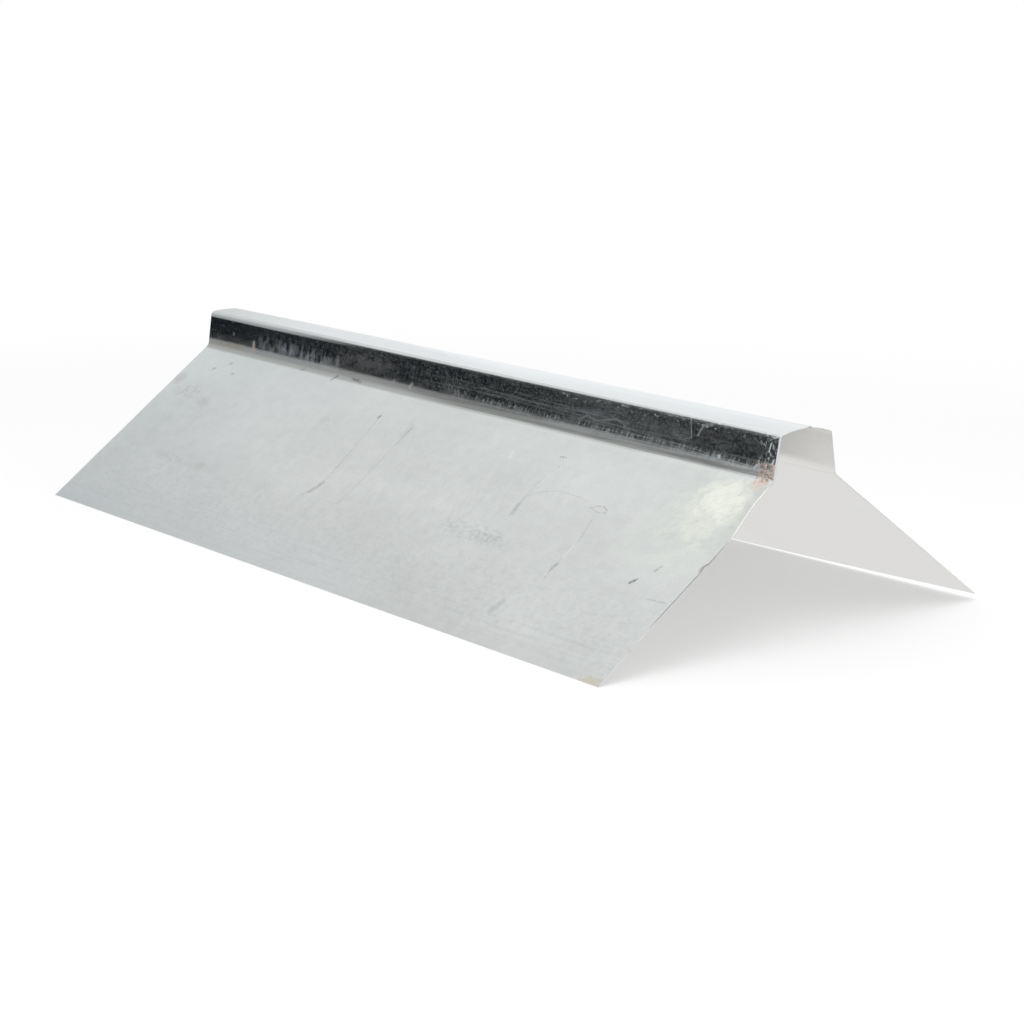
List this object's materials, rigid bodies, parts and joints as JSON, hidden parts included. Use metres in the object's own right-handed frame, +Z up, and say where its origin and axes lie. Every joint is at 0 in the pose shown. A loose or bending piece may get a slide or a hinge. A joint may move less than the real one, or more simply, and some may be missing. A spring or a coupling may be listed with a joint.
{
  "type": "ridge cap",
  "caption": "Folded sheet metal ridge cap with two sloping flanges and a raised top that narrows along its length.",
  "frame": {"origin": "on the floor, under the middle of the cap's bounding box", "axes": "+X along the ridge to the wide end of the raised top, +Z up, the flange nearest the viewer at -Y"},
  "size_m": [0.914, 0.4536, 0.1875],
  "materials": {
    "zinc_coated_sheet": "hot-dip zinc coating, smooth and softly shiny, with scratches and a few rust stains"
  },
  "bodies": {
    "root": {"ridge_cap": "zinc_coated_sheet"}
  },
  "joints": []
}
